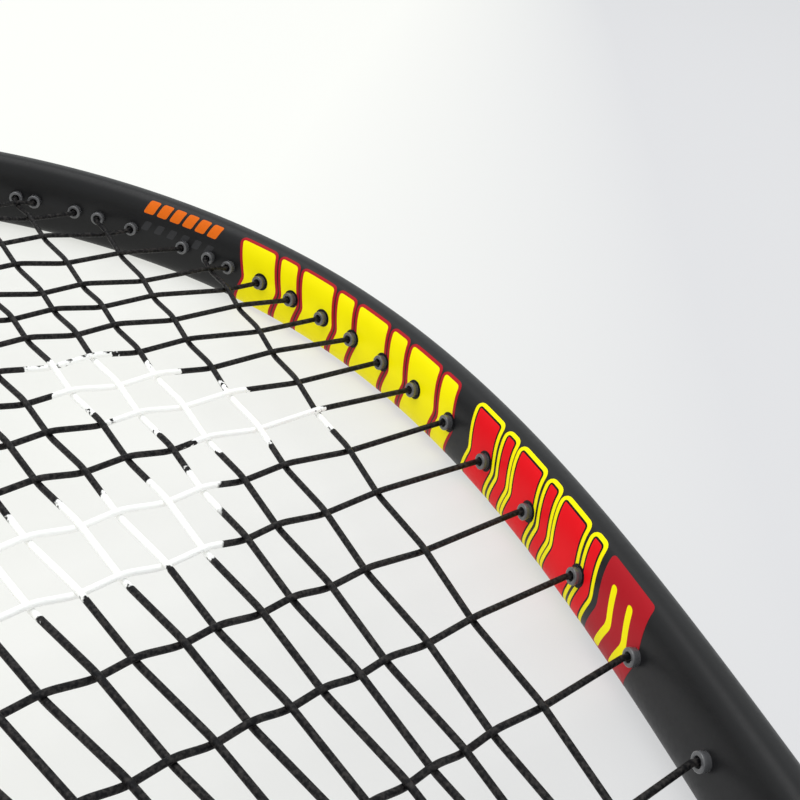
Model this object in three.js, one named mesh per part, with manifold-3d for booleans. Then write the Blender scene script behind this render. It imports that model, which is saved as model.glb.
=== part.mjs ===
// Squash racket: closed-throat teardrop head, fan-strung, with a wrapped octagonal handle.
// Millimetres. The racket lies flat: +Y runs from the butt to the head tip, +Z is square to the
// strings, the string plane is z = 0, and the origin is the middle of the butt cap's flat end.
import * as THREE from 'three';
import { mergeVertices } from 'three/addons/utils/BufferGeometryUtils.js';
import Module from 'manifold-3d';

const wasm = await Module();
wasm.setup();

// ---------------------------------------------------------------- driving dimensions
const GAP = 0.3;                      // clearance between neighbouring pieces

const head = {
  widestY: 559,                       // where the opening is widest
  halfWidth: 98,                      // half the opening there
  tipRise: 115,                       // from the widest place to the inside of the tip
  armPull: { x: 98, y: 487 },         // control points of the curve down to the throat
  throatPull: { x: 51, y: 416 },
  armEnd: { x: 12, y: 332 },
  bridgeJoinY: 388,                   // where the bridge runs into the arms
};
const tube = { width: 9.3, depth: 18.8, squareness: 2.6 };
const bridge = { width: 9, depth: 15 };
const channel = { halfWidth: 3.2, depth: 2.6, endY: 391 };
const bridgeChannel = { halfWidth: 2.3, depth: 2.2 };
const shaft = { halfWidth: 10.5, halfDepth: 9, bottomY: 8, topY: 300, blendY: 296, blendX: 5.85 };

const grommet = { outer: 1.5, bore: 0.95, hole: 1.85, proud: 1.6, base: 0.8 };
const throatGrommet = { outer: 1.2, bore: 0.92, hole: 1.5, proud: 1.2 };
const FACETS = 6;                     // sides of bores, barrels and strings

const string = { radius: 0.6, lift: 0.75, lane: 1.5, lead: 0.8, knot: 1.3 };
const gridY = 517;                    // the cross string that the spacings below are counted from
const mainsAtGrid = [4.3, 12.1, 21.1, 29.3, 37.6, 48.4, 63.7];
const mainsAtThroat = [1.6, 4.5, 7.4, 10.3, 13.2, 16.1, 22];
const mainTieX = 19;                   // hole where each end of the main string is tied off
const firstCrossY = 654.5;             // nearest the tip
const crossGaps = [10, 8, 13, 13.5, 13.5, 9.7, 10.3, 10.9, 11.1, 11.7, 12.6, 13.7, 14.7, 16.7, 18.3,
  19.4, 20.4, 20.5];
const crossTieTopX = 41.7;            // holes where the cross string starts and ends
const crossTieBottomY = 398.5;

const grip = { halfX: 14, halfZ: 12, bevel: 6.4, topY: 188, noseY: 202, noseEndY: 206, wrap: 1.7 };
const noseDrop = { x: 2.2, z: 1.8 };  // how much slimmer each half of the handle is at the nose
const cap = { grow: 1.5, flare: 3.1, length: 22, floor: 3, wall: 1.2 };
const tapeLength = 8;                 // finishing tape, from the end of the wrap
const collar = { y: 214.8, bottomX: 14.2, bottomZ: 12.6, bellyX: 14.6, bellyZ: 13, neckX: 12.9, neckZ: 11.4,
  topX: 11.9, topZ: 10.4, bellyRise: 1.5, neckRise: 10, topRise: 14 };
const staple = { width: 8, wire: 0.8, leg: 4, y: 15, proud: 0.35 };

// ---------------------------------------------------------------- small helpers
const lerp = (a, b, t) => a + (b - a) * t;
const range = (n) => Array.from({ length: n }, (_, i) => i);

function solidOf(geometry) {
  const clean = geometry.clone();
  clean.deleteAttribute('normal');
  clean.deleteAttribute('uv');
  const welded = mergeVertices(clean, 1e-5);
  return new wasm.Manifold(new wasm.Mesh({
    numProp: 3,
    vertProperties: new Float32Array(welded.attributes.position.array),
    triVerts: new Uint32Array(welded.index.array),
  }));
}

function geometryOf(solid) {
  const mesh = solid.getMesh();
  const geometry = new THREE.BufferGeometry();
  geometry.setAttribute('position', new THREE.BufferAttribute(new Float32Array(mesh.vertProperties), 3));
  geometry.setIndex(new THREE.BufferAttribute(new Uint32Array(mesh.triVerts), 1));
  geometry.computeVertexNormals();
  return geometry;
}

const join = (solids) => wasm.Manifold.union(solids);
const cut = (solid, tools) => wasm.Manifold.difference([solid, ...tools]);

// Turns rings of points, each with the same count, into a closed solid with flat ends.
function loft(rings, capOutline) {
  const count = rings[0].length;
  const positions = rings.flat().flatMap((p) => [p.x, p.y, p.z]);
  const index = [];
  for (let r = 0; r + 1 < rings.length; r += 1) {
    for (let i = 0; i < count; i += 1) {
      const j = (i + 1) % count;
      const [a, b, c, d] = [r * count + i, r * count + j, (r + 1) * count + j, (r + 1) * count + i];
      index.push(a, b, c, a, c, d);
    }
  }
  const outline = capOutline ?? range(count).map((i) => {
    const angle = (i / count) * 2 * Math.PI;
    return new THREE.Vector2(Math.cos(angle), Math.sin(angle));
  });
  const last = (rings.length - 1) * count;
  const clockwise = THREE.ShapeUtils.area(outline) < 0;
  for (const face of THREE.ShapeUtils.triangulateShape(outline, [])) {
    const [a, b, c] = clockwise ? face.reverse() : face;
    index.push(a, c, b);
    index.push(last + a, last + b, last + c);
  }
  const geometry = new THREE.BufferGeometry();
  geometry.setAttribute('position', new THREE.Float32BufferAttribute(positions, 3));
  geometry.setIndex(index);
  const solid = solidOf(geometry);
  if (solid.volume() > 0) return solid;
  geometry.setIndex(index.slice().reverse());
  return solidOf(geometry);
}

// A straight rod between two points of the string plane, with flat facets.
function rod(from, to, radius) {
  const along = to.clone().sub(from).normalize();
  const across = new THREE.Vector3(0, 0, 1).cross(along).normalize();
  const up = along.clone().cross(across);
  const ring = (centre) => range(FACETS).map((i) => {
    const angle = (i / FACETS) * 2 * Math.PI;
    return centre.clone().addScaledVector(across, radius * Math.cos(angle))
      .addScaledVector(up, radius * Math.sin(angle));
  });
  return loft([ring(from), ring(to)]);
}

// ---------------------------------------------------------------- the head's inner wall
function bezier(a, b, c, d, t) {
  const u = 1 - t;
  const mix = (k) => u ** 3 * a[k] + 3 * u * u * t * b[k] + 3 * u * t * t * c[k] + t ** 3 * d[k];
  return { x: mix('x'), y: mix('y') };
}

// The right half of the wall as a fine line from the tip to the end of the arm.
const wallLine = (() => {
  const steps = 200;
  const widest = { x: head.halfWidth, y: head.widestY };
  const tip = range(steps).map((i) => {
    const angle = (i / steps) * Math.PI / 2;
    return {
      x: head.halfWidth * Math.sin(angle),
      y: head.widestY + head.tipRise * Math.cos(angle),
    };
  });
  const arm = range(steps + 1).map((i) => (
    bezier(widest, head.armPull, head.throatPull, head.armEnd, i / steps)));
  let s = 0;
  return [...tip, ...arm].map((point, i, all) => {
    if (i > 0) s += Math.hypot(point.x - all[i - 1].x, point.y - all[i - 1].y);
    return { ...point, s };
  });
})();
const wallLength = wallLine[wallLine.length - 1].s;

// Wall point and outward normal at a distance from the tip; the left half has negative distances.
function wallAt(distance) {
  const s = Math.min(Math.abs(distance), wallLength);
  let i = wallLine.findIndex((point) => point.s > s);
  if (i < 1) i = wallLine.length - 1;
  const [a, b] = [wallLine[i - 1], wallLine[i]];
  const t = (s - a.s) / (b.s - a.s);
  const length = b.s - a.s;
  const side = distance < 0 ? -1 : 1;
  return {
    x: side * lerp(a.x, b.x, t), y: lerp(a.y, b.y, t),
    nx: side * (a.y - b.y) / length, ny: (b.x - a.x) / length,
  };
}

function offWall(distance, outward, z = 0) {
  const w = wallAt(distance);
  return new THREE.Vector3(w.x + w.nx * outward, w.y + w.ny * outward, z);
}

// Distance along the wall at which a test on the point inside it changes sign.
function findWall(test, inset) {
  let [low, high] = [0, wallLength];
  const wanted = Math.sign(test(offWall(0, -inset)));
  for (let i = 0; i < 40; i += 1) {
    const middle = (low + high) / 2;
    if (Math.sign(test(offWall(middle, -inset))) === wanted) low = middle;
    else high = middle;
  }
  return low;
}

const bridgeArc = (() => {
  const s = findWall((p) => p.y - head.bridgeJoinY, 0);
  const w = wallAt(s);
  return { s, y: w.y - w.x * w.ny / w.nx, radius: w.x / w.nx, reach: Math.atan2(w.nx, -w.ny) };
})();

// ---------------------------------------------------------------- sections
// Half of an outline for z >= 0 is mirrored to z <= 0; n runs outwards from the wall.
function tubeSection(width, depth, groove) {
  const across = (z) => width / 2 * (1 - (2 * z / depth) ** tube.squareness) ** (1 / tube.squareness);
  const levels = [0.999, 0.88, 0.55];
  const inner = levels.map((k) => [width / 2 - across(k * depth / 2), k * depth / 2]);
  const outer = levels.map((k) => [width / 2 + across(k * depth / 2), k * depth / 2]).reverse();
  const lip = width / 2 + across(groove.halfWidth);
  const floor = width - groove.depth;
  const top = [[0, 0], ...inner.reverse(), ...outer.reverse(), [lip, groove.halfWidth],
    [Math.min(lip, floor), groove.halfWidth]];
  return [...top, ...top.slice(1).reverse().map(([n, z]) => [n, -z])];
}

// Sweeps an (n, z) outline along stations that each hold a point and an outward normal.
function sweep(stations, sectionAt) {
  const rings = stations.map((w, i) => sectionAt(i).map(([n, z]) => (
    new THREE.Vector3(w.x + w.nx * n, w.y + w.ny * n, z))));
  return loft(rings, sectionAt(0).map(([n, z]) => new THREE.Vector2(n, z)));
}

const hoopStations = (from, to, count) => (
  range(count + 1).map((i) => wallAt(lerp(from, to, i / count))));

// ---------------------------------------------------------------- string holes
// Hoop holes are square to the wall; throat holes follow their strings.
function hoopHole(distance) {
  const at = (outward, z) => offWall(distance, outward, z);
  return { s: distance, at };
}

const mainHoles = mainsAtGrid.map((x, i) => {
  const lowY = bridgeArc.y - Math.sqrt((bridgeArc.radius - throatGrommet.proud) ** 2
    - mainsAtThroat[i] ** 2);
  const lean = (x - mainsAtThroat[i]) / (gridY - lowY);
  const s = findWall((p) => p.x - (x + lean * (p.y - gridY)), grommet.proud + string.lead);
  return { tip: hoopHole(s), throat: throatHole(mainsAtThroat[i], lean) };
});
const mainTie = throatHole(mainTieX, mainHoles[6].throat.lean);

function throatHole(x, lean) {
  const mouthRadius = bridgeArc.radius - throatGrommet.proud;
  const mouth = new THREE.Vector3(x, bridgeArc.y - Math.sqrt(mouthRadius ** 2 - x * x), 0);
  const along = new THREE.Vector3(-lean, -1, 0).normalize();
  const reach = (radius) => {
    const c = new THREE.Vector3(0, bridgeArc.y, 0);
    const m = mouth.clone().sub(c);
    const b = m.dot(along);
    return -b + Math.sqrt(b * b - m.lengthSq() + radius * radius);
  };
  return { x, lean, mouth, along, at: (distance) => mouth.clone().addScaledVector(along, distance), reach };
}

const crossYs = crossGaps.reduce((ys, gap) => [...ys, ys[ys.length - 1] - gap], [firstCrossY]);
const wallAtY = (y) => findWall((p) => p.y - y, grommet.proud + string.lead);
const crossHoles = crossYs.map((y) => hoopHole(wallAtY(y)));
const crossTieTop = hoopHole(-findWall((p) => p.x - crossTieTopX, grommet.proud + string.lead));
const crossTieBottom = hoopHole(wallAtY(crossTieBottomY));
const mirrored = (hole) => hoopHole(-hole.s);

const tipHoles = mainHoles.flatMap(({ tip }) => [tip, mirrored(tip)]);
const sideHoles = crossHoles.flatMap((hole) => [hole, mirrored(hole)]);
const allHoopHoles = [...tipHoles, ...sideHoles, crossTieTop, crossTieBottom];
const throatHoles = [...mainHoles.map(({ throat }) => throat), mainTie];

const flipX = (solid) => solid.mirror([1, 0, 0]);
const pair = (solids) => [...solids, ...solids.map(flipX)];

// ---------------------------------------------------------------- frame
function makeArm() {
  const grooved = tubeSection(tube.width, tube.depth, channel);
  const plain = tubeSection(tube.width, tube.depth, { ...channel, depth: 0.15 });
  const wall = hoopStations(0, wallLength, 24);
  wall[0] = { x: -0.01, y: wall[0].y, nx: 0, ny: 1 };
  const end = offWall(wallLength, tube.width / 2);
  const last = wallAt(wallLength);
  const pull = 16;
  const down = range(5).map((i) => {
    const at = (t) => bezier(end, { x: end.x + last.ny * pull, y: end.y - last.nx * pull },
      { x: shaft.blendX, y: shaft.blendY + pull }, { x: shaft.blendX, y: shaft.blendY }, t);
    const t = (i + 1) / 5;
    const [a, b] = [at(t - 0.01), at(t)];
    const length = Math.hypot(b.x - a.x, b.y - a.y);
    const n = { nx: (a.y - b.y) / length, ny: (b.x - a.x) / length };
    return { x: b.x - n.nx * tube.width / 2, y: b.y - n.ny * tube.width / 2, ...n };
  });
  return sweep([...wall, ...down], (i) => (
    i < wall.length && wall[i].y > channel.endY ? grooved : plain));
}

const bridgeStations = (reach, count) => range(count + 1).map((i) => {
  const angle = lerp(-reach, reach, i / count);
  const [nx, ny] = [Math.sin(angle), -Math.cos(angle)];
  return { x: bridgeArc.radius * nx, y: bridgeArc.y + bridgeArc.radius * ny, nx, ny };
});

const bar = (inner, outer, half) => [[inner, -half], [outer, -half], [outer, half], [inner, half]];

function makeBridge() {
  const section = tubeSection(bridge.width, bridge.depth, { ...bridgeChannel, depth: 0.1 });
  return sweep(bridgeStations(bridgeArc.reach, 16), () => section);
}

// The channel under the bridge reaches a little past the outermost main's hole.
const throatChannelReach = (() => {
  const { throat } = mainHoles[6];
  const exit = throat.at(throat.reach(bridgeArc.radius + bridge.width));
  return Math.atan2(exit.x, bridgeArc.y - exit.y) + 2.4 / (bridgeArc.radius + bridge.width);
})();

function makeThroatChannel() {
  const section = bar(bridge.width - bridgeChannel.depth, bridge.width + 2.5, bridgeChannel.halfWidth);
  return sweep(bridgeStations(throatChannelReach, 16), () => section);
}

function ovalRing(y, halfX, halfZ, count = 16) {
  return range(count).map((i) => {
    const angle = ((i + 0.5) / count) * 2 * Math.PI;
    const round = (v) => Math.sign(v) * Math.abs(v) ** (2 / tube.squareness);
    return new THREE.Vector3(halfX * round(Math.cos(angle)), y, halfZ * round(Math.sin(angle)));
  });
}

function makeFrame() {
  const arm = makeArm();
  const post = loft([ovalRing(shaft.bottomY, shaft.halfWidth, shaft.halfDepth),
    ovalRing(shaft.topY, shaft.halfWidth, shaft.halfDepth)]);
  const web = loft([ovalRing(shaft.topY - 4, 9.5, 7.6), ovalRing(head.armEnd.y + 4, 14, 7.6)]);
  const end = wallAt(wallLength);
  const crotch = end.x / end.nx;
  const crotchCentre = new THREE.Vector3(0, end.y - end.x * end.ny / end.nx, 0);
  const notch = wasm.Manifold.cylinder(tube.depth + 2, crotch, crotch, 24, true)
    .translate([crotchCentre.x, crotchCentre.y, 0]);
  const body = join([arm, flipX(arm), post, cut(web, [notch]), makeBridge()]);
  const hoopDrills = allHoopHoles.map((hole) => (
    rod(hole.at(-2), hole.at(tube.width + 2), grommet.hole)));
  const throatDrills = pair(throatHoles.map((hole) => (
    rod(hole.at(-2), hole.at(hole.reach(bridgeArc.radius + bridge.width + 1)), throatGrommet.hole))));
  return cut(body, [makeThroatChannel(), ...hoopDrills, ...throatDrills]);
}

// ---------------------------------------------------------------- grommet strips
const stripInner = tube.width - channel.depth + GAP;
const stripOuter = stripInner + grommet.base;

function stripWithBarrels(base, holes) {
  const barrels = holes.map((hole) => rod(hole.at(-grommet.proud), hole.at(stripOuter - 0.1), grommet.outer));
  const bores = holes.map((hole) => rod(hole.at(-grommet.proud - 1), hole.at(stripOuter + 1), grommet.bore));
  return cut(join([base, ...barrels]), bores);
}

// The guard ends half-way between the outermost main and the cross string beside it.
const bumperEnd = (mainHoles[6].tip.s + crossHoles[5].s - GAP) / 2;

function makeBumperGuard() {
  const half = channel.halfWidth - GAP;
  const rise = tube.width;
  const lane = string.lane + string.radius + 0.2;
  const top = [[stripInner, half], [rise + 0.3, half], [rise - 0.05, 5], [rise - 0.9, 7.1],
    [rise - 0.35, 7.4],
    [rise + 0.65, 6.5], [rise + 1.5, 3.4], [rise + 1.3, lane], [stripOuter, lane]];
  const section = [...top, ...top.slice().reverse().map(([n, z]) => [n, -z])];
  const base = sweep(hoopStations(-bumperEnd, bumperEnd, 22), () => section);
  return stripWithBarrels(base, allHoopHoles.filter((hole) => Math.abs(hole.s) < bumperEnd));
}

function makeSideStrip(side) {
  const half = channel.halfWidth - GAP;
  const from = bumperEnd + GAP;
  const to = wallAtY(crossTieBottomY) + 3;
  const section = bar(stripInner, stripOuter, half);
  const base = sweep(hoopStations(side * from, side * to, 17), () => section);
  return stripWithBarrels(base, allHoopHoles.filter((hole) => side * hole.s > bumperEnd));
}

function makeThroatStrip() {
  const half = bridgeChannel.halfWidth - GAP;
  const inner = bridge.width - bridgeChannel.depth + GAP;
  const outer = inner + grommet.base;
  const reach = throatChannelReach - GAP / (bridgeArc.radius + bridge.width);
  const base = sweep(bridgeStations(reach, 12), () => bar(inner, outer, half));
  const barrels = throatHoles.map((hole) => (
    rod(hole.at(0), hole.at(hole.reach(bridgeArc.radius + outer - 0.1)), throatGrommet.outer)));
  const bores = throatHoles.map((hole) => (
    rod(hole.at(-1), hole.at(hole.reach(bridgeArc.radius + outer + 1)), throatGrommet.bore)));
  return cut(join([base, ...pair(barrels)]), pair(bores));
}

// ---------------------------------------------------------------- strings
const STRING_FACETS = 6;
const laneOut = stripOuter + 0.2 + string.radius;

// Cuts each sharp corner of a route so that the string turns in two easy steps.
function soften(points, cutBack) {
  const out = [points[0]];
  for (let i = 1; i + 1 < points.length; i += 1) {
    const before = points[i - 1].clone().sub(points[i]);
    const after = points[i + 1].clone().sub(points[i]);
    const sharp = before.angleTo(after) < (2 / 3) * Math.PI;
    if (!sharp) {
      out.push(points[i]);
    } else {
      for (const arm of [before, after]) {
        const step = Math.min(cutBack, arm.length() / 2.5);
        out.push(points[i].clone().addScaledVector(arm.normalize(), step));
      }
    }
  }
  out.push(points[points.length - 1]);
  return out;
}

function stringTube(route) {
  const points = soften(route, string.radius);
  let across = null;
  const rings = points.map((point, i) => {
    const before = points[Math.max(i - 1, 0)];
    const after = points[Math.min(i + 1, points.length - 1)];
    const into = point.clone().sub(before).normalize();
    const out = after.clone().sub(point).normalize();
    const along = into.clone().add(out).normalize();
    if (!across) across = new THREE.Vector3(0, 0, 1).cross(along).normalize();
    across = across.addScaledVector(along, -across.dot(along)).normalize();
    const up = along.clone().cross(across);
    return range(STRING_FACETS).map((k) => {
      const angle = (k / STRING_FACETS) * 2 * Math.PI;
      return point.clone().addScaledVector(across, string.radius * Math.cos(angle))
        .addScaledVector(up, string.radius * Math.sin(angle));
    });
  });
  return loft(rings);
}

// The run in the outer channel from one hoop hole to the next, in its own lane.
function channelRun(from, to, z) {
  const step = 9;
  const turn = 2.4;
  const direction = Math.sign(to - from);
  const [a, b] = [from + direction * turn, to - direction * turn];
  const count = Math.max(1, Math.ceil(Math.abs(b - a) / step));
  const lane = range(count + 1).map((i) => offWall(lerp(a, b, i / count), laneOut, z));
  return [offWall(from, laneOut), ...lane, offWall(to, laneOut)];
}

// A string's way across the bed between two bends, lifted clear of the strings it crosses.
function bedRun(from, to, z) {
  const ease = 2;
  const along = to.clone().sub(from).normalize();
  const rise = (p, way) => p.clone().addScaledVector(along, way * ease).setZ(z);
  return [from, rise(from, 1), rise(to, -1), to];
}

const bendOut = -(grommet.proud + string.lead);

function knotAt(point) {
  return wasm.Manifold.sphere(string.knot, 8).translate([point.x, point.y, point.z]);
}

function makeMainString() {
  const mirror = (p, side) => new THREE.Vector3(side * p.x, p.y, p.z);
  const outRadius = bridgeArc.radius + bridge.width - bridgeChannel.depth + GAP + grommet.base
    + 0.5 + string.radius;
  const throatOut = (hole, side) => mirror(hole.at(hole.reach(outRadius)), side);
  const knotInside = -(string.knot + 0.4);
  const rows = [...range(7).map((i) => [6 - i, -1]), ...range(7).map((i) => [i, 1])];
  const route = [mirror(mainTie.at(knotInside), -1), throatOut(mainTie, -1)];
  rows.forEach(([i, side], row) => {
    const { tip, throat } = mainHoles[i];
    const bend = offWall(side * tip.s, bendOut);
    const mouth = mirror(throat.at(-string.lead), side);
    if (row % 2 === 0) {
      const next = rows[row + 1];
      route.push(throatOut(throat, side), ...bedRun(mouth, bend, string.lift));
      route.push(...channelRun(side * tip.s, next[1] * mainHoles[next[0]].tip.s, string.lane));
    } else {
      route.push(...bedRun(bend, mouth, string.lift), throatOut(throat, side));
    }
  });
  route.push(throatOut(mainTie, 1), mirror(mainTie.at(knotInside), 1));
  return join([stringTube(route), knotAt(route[0]), knotAt(route[route.length - 1])]);
}

function makeCrossString() {
  const knotInside = -(grommet.proud + string.knot + 0.4);
  const start = crossTieTop.s;
  const route = [offWall(start, knotInside), ...channelRun(start, -crossHoles[0].s, -string.lane)];
  crossHoles.forEach((hole, row) => {
    const side = row % 2 === 0 ? -1 : 1;
    route.push(...bedRun(offWall(side * hole.s, bendOut), offWall(-side * hole.s, bendOut),
      -string.lift));
    const next = row + 1 < crossHoles.length ? crossHoles[row + 1] : crossTieBottom;
    route.push(...channelRun(-side * hole.s, -side * next.s, -string.lane));
  });
  route.push(offWall(crossTieBottom.s, knotInside));
  return join([stringTube(route), knotAt(route[0]), knotAt(route[route.length - 1])]);
}

// ---------------------------------------------------------------- handle
// An octagonal ring square to the handle; `grow` is added all round.
function octagonRing(y, halfX, halfZ, grow = 0) {
  const x = halfX + grow;
  const z = halfZ + grow;
  const bevel = grip.bevel + grow * (2 - Math.SQRT2);
  const corner = [[x, z - bevel], [x - bevel, z], [bevel - x, z], [-x, z - bevel],
    [-x, bevel - z], [bevel - x, -z], [x - bevel, -z], [x, bevel - z]];
  return corner.map(([cx, cz]) => new THREE.Vector3(cx, y, cz));
}

const noseRing = (y, grow = 0) => (
  octagonRing(y, grip.halfX - noseDrop.x, grip.halfZ - noseDrop.z, grow));
const shaftBore = (from, to) => loft([from, to].map((y) => (
  ovalRing(y, shaft.halfWidth + GAP, shaft.halfDepth + GAP))));
const slab = (z, height) => wasm.Manifold.cube([80, 800, height], true).translate([0, 300, z]);

function stapleSolid(grow) {
  const top = grip.halfZ + cap.grow + staple.proud - staple.wire / 2;
  const block = (w, d, h) => wasm.Manifold.cube([w + 2 * grow, d + 2 * grow, h + 2 * grow], true);
  const crown = block(staple.width, staple.wire, staple.wire).translate([0, staple.y, top]);
  const legs = [-1, 1].map((side) => (
    block(staple.wire, staple.wire, staple.leg)
      .translate([side * (staple.width - staple.wire) / 2, staple.y, top - staple.leg / 2])));
  return join([crown, ...legs]);
}
const flipZ = (solid) => solid.mirror([0, 0, 1]);

function makePallet(side) {
  const body = loft([
    octagonRing(cap.floor + GAP, grip.halfX, grip.halfZ),
    octagonRing(grip.topY, grip.halfX, grip.halfZ),
    noseRing(grip.noseY),
  ]);
  const keep = slab(side * (20 + GAP / 2), 40);
  const slot = side > 0 ? stapleSolid(0.2) : flipZ(stapleSolid(0.2));
  return cut(wasm.Manifold.intersection([body, keep]), [shaftBore(-5, 250), slot]);
}

function makeButtCap() {
  const ring = (y, grow) => octagonRing(y, grip.halfX, grip.halfZ, grow);
  const outer = loft([ring(0, cap.flare - 0.8), ring(1.2, cap.flare), ring(5, cap.flare),
    ring(5.2, cap.grow), ring(cap.length, cap.grow - 0.3)]);
  const inner = loft([ring(cap.floor, cap.grow - cap.wall), ring(cap.length + 1, cap.grow - cap.wall)]);
  return cut(outer, [inner, stapleSolid(0.2), flipZ(stapleSolid(0.2))]);
}

const wrapEndGrow = 1.2;

function makeGripWrap() {
  const overCap = cap.grow + GAP + 0.2;
  const inner = [[4, overCap], [cap.length + 0.5, overCap], [cap.length + 1.5, GAP],
    [grip.topY, GAP]];
  const outer = [[5.5, overCap + grip.wrap - 0.9], [7, overCap + grip.wrap],
    [cap.length, overCap + grip.wrap - 0.3], [cap.length + 6, GAP + grip.wrap],
    [grip.topY, GAP + grip.wrap]];
  const ring = ([y, grow]) => octagonRing(y, grip.halfX, grip.halfZ, grow);
  const solid = loft([...outer.map(ring), noseRing(grip.noseY, GAP + grip.wrap),
    noseRing(grip.noseEndY, wrapEndGrow)]);
  const hollow = loft([...inner.map(ring), noseRing(grip.noseY, GAP), noseRing(grip.noseY + 0.3, GAP - 0.2)]);
  return cut(solid, [hollow, shaftBore(150, 260)]);
}

const sleeve = (rings, bore) => cut(loft(rings), [bore]);

function makeFinishingTape() {
  const wrapAt = (y) => lerp(GAP + grip.wrap, wrapEndGrow, (y - grip.noseY) / (grip.noseEndY - grip.noseY));
  const start = grip.noseY + 0.4;
  const clear = grip.noseEndY + GAP;
  const bore = join([
    loft([noseRing(grip.noseY, wrapAt(grip.noseY) + 0.2), noseRing(clear, wrapEndGrow + 0.15)]),
    shaftBore(grip.noseY, grip.noseY + 60),
  ]);
  return sleeve([noseRing(start, wrapAt(start) + 0.7), noseRing(clear, wrapEndGrow + 0.7),
    noseRing(grip.noseEndY + tapeLength, 0.8)], bore);
}

function makeGripCollar() {
  return sleeve([
    ovalRing(collar.y, collar.bottomX, collar.bottomZ),
    ovalRing(collar.y + collar.bellyRise, collar.bellyX, collar.bellyZ),
    ovalRing(collar.y + collar.neckRise, collar.neckX, collar.neckZ),
    ovalRing(collar.y + collar.topRise, collar.topX, collar.topZ),
  ], shaftBore(collar.y - 1, collar.y + collar.topRise + 2));
}

// ---------------------------------------------------------------- assembly
const finishes = {
  carbon: { color: 0x17181a, roughness: 0.45, metalness: 0 },
  nylon: { color: 0x26272a, roughness: 0.6, metalness: 0 },
  string: { color: 0x141517, roughness: 0.5, metalness: 0 },
  foam: { color: 0x3a3a38, roughness: 0.95, metalness: 0 },
  cap: { color: 0x1b1c1e, roughness: 0.6, metalness: 0 },
  steel: { color: 0xb9bcc0, roughness: 0.35, metalness: 1 },
  wrap: { color: 0x151515, roughness: 0.85, metalness: 0 },
  tape: { color: 0x101012, roughness: 0.4, metalness: 0 },
  rubber: { color: 0x0f0f10, roughness: 0.8, metalness: 0 },
};

const racket = new THREE.Group();
racket.name = 'squash_racket';

function add(name, solid, finish) {
  const mesh = new THREE.Mesh(geometryOf(solid), new THREE.MeshStandardMaterial(finishes[finish]));
  mesh.name = name;
  racket.add(mesh);
}

add('frame', makeFrame(), 'carbon');
add('bumper_guard', makeBumperGuard(), 'nylon');
add('grommet_strip_left', makeSideStrip(-1), 'nylon');
add('grommet_strip_right', makeSideStrip(1), 'nylon');
add('throat_grommet_strip', makeThroatStrip(), 'nylon');
add('main_string', makeMainString(), 'string');
add('cross_string', makeCrossString(), 'string');
add('pallet_upper', makePallet(1), 'foam');
add('pallet_lower', makePallet(-1), 'foam');
add('butt_cap', makeButtCap(), 'cap');
add('butt_staple_upper', stapleSolid(0), 'steel');
add('butt_staple_lower', flipZ(stapleSolid(0)), 'steel');
add('grip_wrap', makeGripWrap(), 'wrap');
add('finishing_tape', makeFinishingTape(), 'tape');
add('grip_collar', makeGripCollar(), 'rubber');

export default racket;
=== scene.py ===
import math

import bmesh
import bpy
import numpy as np
from mathutils import Matrix


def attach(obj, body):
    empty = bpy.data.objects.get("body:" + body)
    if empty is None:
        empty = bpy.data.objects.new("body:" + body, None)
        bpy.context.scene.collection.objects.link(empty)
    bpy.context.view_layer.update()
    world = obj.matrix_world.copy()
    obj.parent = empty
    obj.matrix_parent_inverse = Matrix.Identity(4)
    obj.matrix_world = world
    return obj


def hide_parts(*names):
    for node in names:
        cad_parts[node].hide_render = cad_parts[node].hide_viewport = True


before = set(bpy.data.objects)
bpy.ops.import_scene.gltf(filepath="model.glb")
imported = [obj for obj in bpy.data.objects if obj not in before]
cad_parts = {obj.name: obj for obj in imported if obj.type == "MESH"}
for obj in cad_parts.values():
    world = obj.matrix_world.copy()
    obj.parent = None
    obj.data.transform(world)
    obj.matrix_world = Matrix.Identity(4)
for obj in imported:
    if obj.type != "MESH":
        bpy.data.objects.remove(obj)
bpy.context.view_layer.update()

# ------------ driving dimensions, in millimetres
MM = 0.001
GAP = 0.3  # between a lining and what holds it
MIRROR_X = [-1, 1, 1]

WIDEST_Y, HALF_WIDTH, TIP_RISE = 559, 98, 115  # the head's opening
ARM_PULL, THROAT_PULL, ARM_END = (98, 487), (51, 416), (12, 332)
BRIDGE_JOIN_Y = 388

TUBE_WIDTH, TUBE_DEPTH, SQUARENESS = 9.3, 18.8, 2.6
FINE_POINTS, SECTION_POINTS, CHANNEL_POINTS = 4000, 128, 32  # of an oval, of a section and its channel
BRIDGE_WIDTH, BRIDGE_DEPTH = 9, 15
CHANNEL_HALF, CHANNEL_DEPTH, CHANNEL_END_Y = 3.2, 2.6, 391
CHANNEL_LIP = 0.9  # width of the soft edge beside a channel
BRIDGE_CHANNEL_HALF, BRIDGE_CHANNEL_DEPTH = 2.3, 2.2
BRIDGE_CHANNEL_REACH, THROAT_STRIP_REACH = 0.44, 0.39  # radians to each side of the middle
SHAFT_HALF_WIDTH, SHAFT_HALF_DEPTH, SHAFT_BOTTOM_Y = 10.5, 9, 8
BLEND_Y, BLEND_X, BLEND_PULL = 296, 5.85, 16
CROTCH_RISE = 11  # rounded web between the arms over the shaft

BARREL_RADIUS, BORE_RADIUS, BARREL_PROUD, STRIP_BASE = 1.65, 0.95, 1.6, 0.8
THROAT_BARREL_RADIUS, THROAT_BORE_RADIUS, THROAT_BARREL_PROUD = 1.2, 0.92, 1.2

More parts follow.
